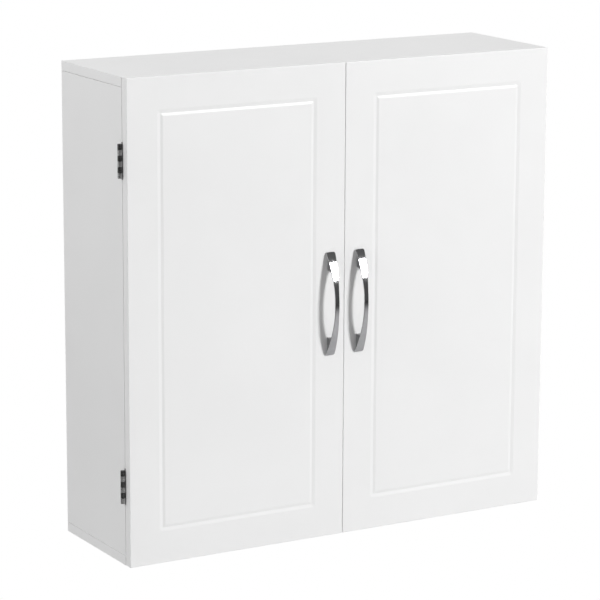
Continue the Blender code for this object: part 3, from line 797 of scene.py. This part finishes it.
hinge_screw = countersunk("hinge_screw", head=0.0021, shank=0.0011, sink=0.0008, length=0.0090)
for side, sign in SIDES.items():
    for level in ("upper", "lower"):
        name = f"{side}_{level}_hinge"
        low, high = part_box(f"{name}_pin")
        axis = (low + high) / 2
        barrel = high.z - low.z
        for leaf_name, face, own, body, steel in (
            ("frame", 1, range(1, KNUCKLES, 2), "cabinet", frame_leaf_painted_shade_steel),
            ("door", -1, range(0, KNUCKLES, 2), f"{side}_door", door_leaf_painted_light_steel),
        ):
            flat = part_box(f"{name}_{leaf_name}_leaf")
            height = flat[1].z - flat[0].z
            rolled = f"{name}_{leaf_name}_rolled"
            leaf = hinge_leaf(rolled, sign, face, own, axis, height, barrel, steel)
            fix(leaf, f"{name}_{leaf_name}_leaf", body)
            for end, way in (("top", 1), ("bottom", -1)):
                offset = (-sign * HINGE_SCREW_IN, face * CLEAR / 2, way * HINGE_SCREW_SPREAD)
                at = axis + Vector(offset)
                screw = f"{name}_{leaf_name}_screw_{end}"
                fit_screw(screw, hinge_screw, at, -face * REAR, body)
        bm = bmesh.new()
        dome = ((0, 0.5 * PIN), (0.0002, 0.8 * PIN), (0.0005, PIN))
        profile = [*dome, *((barrel - z, radius) for z, radius in reversed(dome))]
        turned(bm, profile, (axis.x, axis.y, low.z), UP)
        pin = place(f"{name}_turned_pin", to_mesh(bm, "pin"), frame_leaf_painted_shade_steel)
        fix(pin, f"{name}_pin", "cabinet")

# ---- doors
# Two 12 mm painted doors. Their front edges are rounded over, and a router has run one
# shallow groove 40 mm in from the edges, with a long outer slope and a steep inner side.
DOOR = 0.012
DOOR_ROUND = 0.0009
DOOR_CORNER = 0.0008
BACK_EASE = 0.0003
GROOVE_FROM_EDGE = 0.0403
GROOVE_SLOPE = 0.0044
GROOVE_WIDTH = 0.0077
GROOVE_DEPTH = 0.0009
GROOVE_CORNER = 0.003
GROOVE_SOFTNESS = 0.0007  # rounding where the groove meets the faces and at its bottom
BACK_STEPS = 3
FRONT_STEPS = 8
GROOVE_STEPS = 5
CORNER_STEPS = 8


def rounded_outline(half_x, half_z, radius):
    """A rectangle about the origin with rounded corners, as (x, z) points."""
    outline = []
    for quarter, (x, z) in enumerate(((1, 1), (-1, 1), (-1, -1), (1, -1))):
        for step in range(CORNER_STEPS + 1):
            angle = (quarter + step / CORNER_STEPS) * math.pi / 2
            outline.append((
                x * (half_x - radius) + radius * math.cos(angle),
                z * (half_z - radius) + radius * math.sin(angle),
            ))
    return outline


def door_profile():
    """(inset from the edge, corner radius, height over the back), from the back to the field."""
    profile = []
    for step in range(BACK_STEPS + 1):
        angle = step / BACK_STEPS * math.pi / 2
        inset = BACK_EASE * (1 - math.sin(angle))
        profile.append((inset, DOOR_CORNER, BACK_EASE * (1 - math.cos(angle))))
    for step in range(FRONT_STEPS + 1):
        angle = step / FRONT_STEPS * math.pi / 2
        inset = DOOR_ROUND * (1 - math.cos(angle))
        profile.append((inset, DOOR_CORNER + inset / 2, DOOR - DOOR_ROUND * (1 - math.sin(angle))))
    groove = (
        (0, 0),
        (GROOVE_FROM_EDGE, 0),
        (GROOVE_FROM_EDGE + GROOVE_SLOPE, GROOVE_DEPTH),
        (GROOVE_FROM_EDGE + GROOVE_WIDTH, 0),
        (2 * GROOVE_FROM_EDGE, 0),
    )
    groove = [Vector(point) for point in groove]
    for before, corner, after in zip(groove, groove[1:], groove[2:]):
        start = corner + (before - corner).normalized() * GROOVE_SOFTNESS
        end = corner + (after - corner).normalized() * GROOVE_SOFTNESS
        for step in range(GROOVE_STEPS + 1):
            t = step / GROOVE_STEPS
            inset, fall = (1 - t) ** 2 * start + 2 * t * (1 - t) * corner + t**2 * end
            # the frame's corners turn on the full radius, and the field's on a quarter of it
            sharpness = 1 - 0.75 * (inset - GROOVE_FROM_EDGE) / GROOVE_WIDTH
            profile.append((inset, GROOVE_CORNER * sharpness, DOOR - fall))
    return profile


for side, sign in SIDES.items():
    low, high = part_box(f"{side}_door")
    middle = (low + high) / 2
    size = high - low
    rings = []
    for inset, radius, height in door_profile():
        outline = rounded_outline(size.x / 2 - inset, size.z / 2 - inset, radius)
        rings.append([(middle.x + x, high.y - height, middle.z + z) for x, z in outline])
    bm = bmesh.new()
    skin(bm, rings)
    door = place(f"{side}_door_panel", to_mesh(bm, f"{side}_door"), white_paint)
    recesses = bmesh.new()
    hinge_recesses(recesses, side, "door", -1)
    shaped(door, recesses, "DIFFERENCE")
    even_shading(door)
    fix(door, f"{side}_door", f"{side}_door")

# ---- striker plates
# A small zinc plated steel plate lies on the back of each door, where it meets the catch's
# magnet. One countersunk screw holds it.
striker_screw = countersunk("striker_screw", head=0.0024, shank=0.0012, sink=0.0011, length=0.0085)
for side in SIDES:
    low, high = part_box(f"{side}_striker_plate")
    striker_mesh = to_mesh(eased_block(low, high, ease=0.0003, steps=2), "striker")
    striker = place(f"{side}_striker", striker_mesh, zinc)
    at = Vector(((low.x + high.x) / 2, high.y, (low.z + high.z) / 2))
    cuts = bmesh.new()
    countersink(cuts, head=0.0027, hole=0.0015, deep=high.y - low.y, at=at, inward=-REAR)
    shaped(striker, cuts, "DIFFERENCE")
    fix(striker, f"{side}_striker_plate", f"{side}_door")
    fit_screw(f"{side}_striker_screw", striker_screw, at, REAR, f"{side}_door")

# ---- handles
# Two cast bow handles in dark polished nickel, slim in the middle and flaring to a solid
# foot at each end. Each is held by two pan head screws from the back of its door.
HANDLE_LENGTH = 0.131
HANDLE_OPENING = 0.085
HANDLE_RISE = 0.0195
HANDLE_BAR = 0.0032
HANDLE_THROAT = 0.0045  # length over which the bar turns down into a foot
HANDLE_TIP = 0.0015
HANDLE_WAIST = 0.0058
HANDLE_END = 0.0130
HANDLE_BACK = 0.0024
HANDLE_FOOT = 0.0066
FLARE_FROM = 0.014
FLARE_POWER = 1.25
HANDLE_EDGE = 0.0005
HANDLE_END_ROUND = 0.0022  # rounding of each foot's outer corners
END_STEPS = 8
FOOT_STEPS = 8
THROAT_STEPS = 12
SPAN_STEPS = 56
HANDLE_SCREW = 0.0195  # length under the head


def polished_nickel():
    material, tree, shader = new_finish(
        "dark polished nickel", (0.43, 0.43, 0.44), roughness=0.07, metallic=1.0
    )
    vary_colour(tree, shader, speckle(tree, 120, 3), (0.41, 0.41, 0.42), (0.45, 0.45, 0.46))
    vary_roughness(tree, shader, speckle(tree, 500, 3), low=0.05, high=0.09)
    raise_surface(tree, shader, speckle(tree, 1200, 2), strength=0.06, height=0.00002)
    return material


def arc_height(along, half_chord, rise):
    """Height of a circular arc over its chord, and nothing beyond the chord's ends."""
    if abs(along) >= half_chord:
        return 0.0
    radius = (half_chord**2 + rise**2) / (2 * rise)
    return math.sqrt(radius**2 - along**2) - (radius - rise)


def end_rounding(along):
    """How much narrower each side of a foot is near its outer end."""
    into = max(abs(along) - HANDLE_LENGTH / 2, -HANDLE_END_ROUND) + HANDLE_END_ROUND
    return HANDLE_END_ROUND - math.sqrt(max(HANDLE_END_ROUND**2 - into**2, 0))


def bow_section(along, steps=6):
    """(x, height over the door) round one section: flat in front, rounded behind."""
    half = HANDLE_LENGTH / 2
    front = HANDLE_TIP + arc_height(along, half, HANDLE_RISE - HANDLE_TIP)
    flare = max(abs(along) - FLARE_FROM, 0) / (half - FLARE_FROM)
    side = (HANDLE_WAIST + (HANDLE_END - HANDLE_WAIST) * flare**FLARE_POWER) / 2
    side -= end_rounding(along)
    down = min(max((abs(along) - HANDLE_OPENING / 2) / HANDLE_THROAT + 1, 0), 1)
    back = (front - HANDLE_BAR) * math.sqrt(1 - down**2)
    back_side = (HANDLE_BACK + (HANDLE_FOOT - HANDLE_BACK) * down) / 2
    back_side -= end_rounding(along) / 2
    edge = min(HANDLE_EDGE, (front - back) / 4)
    outline = []
    for step in range(steps + 1):
        angle = step / steps * math.pi / 2
        outline.append((side - edge * (1 - math.sin(angle)), front - edge * (1 - math.cos(angle))))
    for step in range(1, steps + 1):
        part = step / steps
        x = (1 - down) * math.cos(part * math.pi / 2) + down * (1 - part)
        drop = (1 - down) * math.sin(part * math.pi / 2) + down * part
        height = front - edge - (front - edge - back) * drop
        outline.append((back_side + (side - back_side) * x, height))
    return outline + [(-x, height) for x, height in reversed(outline)]


def bow_stations():
    """Heights of the sections: the rounded ends, the feet, the throats and the span."""
    opening = HANDLE_OPENING / 2
    straight = opening - HANDLE_THROAT
    flat = HANDLE_LENGTH / 2 - HANDLE_END_ROUND
    angles = [step / END_STEPS * math.pi / 2 for step in range(END_STEPS)]
    foot = [flat + HANDLE_END_ROUND * math.cos(angle) for angle in angles]
    foot += [flat + (opening - flat) * step / FOOT_STEPS for step in range(FOOT_STEPS)]
    angles = [step / THROAT_STEPS * math.pi / 2 for step in range(THROAT_STEPS)]
    throat = [straight + HANDLE_THROAT * math.cos(angle) for angle in angles]
    span = [straight * (1 - 2 * step / SPAN_STEPS) for step in range(SPAN_STEPS + 1)]
    return foot + throat + span + [-z for z in reversed(foot + throat)]


nickel = polished_nickel()
# The screw's profile: (height over the back of the door, radius), from the head to the tip
pan_head = (
    (0.0026, 0.0018),
    (0.0024, 0.0026),
    (0.0020, 0.0034),
    (0.0013, 0.0039),
    (0.0006, 0.0040),
    (CLEAR, 0.0040),
)
shank = ((CLEAR, 0.002), (0.0006 - HANDLE_SCREW, 0.002), (-HANDLE_SCREW, 0.0014))
handle_screw = screw_shape(
    "handle_screw", (*pan_head, *shank), recess=(0.0024, 0.0010, 0.0016), face=0.0026
)
for side in SIDES:
    low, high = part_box(f"{side}_handle")
    middle = (low + high) / 2
    bm = bmesh.new()
    rings = []
    for z in bow_stations():
        rings.append([(middle.x + x, high.y - h, middle.z + z) for x, h in bow_section(z)])
    skin(bm, rings)
    bmesh.ops.remove_doubles(bm, verts=bm.verts, dist=1e-7)
    bow = place(f"{side}_bow_handle", to_mesh(bm, f"{side}_bow", 30), nickel)
    even_shading(bow)
    fix(bow, f"{side}_handle", f"{side}_door")
    door_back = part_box(f"{side}_door")[1].y
    for end in ("top", "bottom"):
        name = f"{side}_handle_screw_{end}"
        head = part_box(name)
        at = Vector(((head[0].x + head[1].x) / 2, door_back, (head[0].z + head[1].z) / 2))
        fit_screw(name, handle_screw, at, REAR, f"{side}_door")
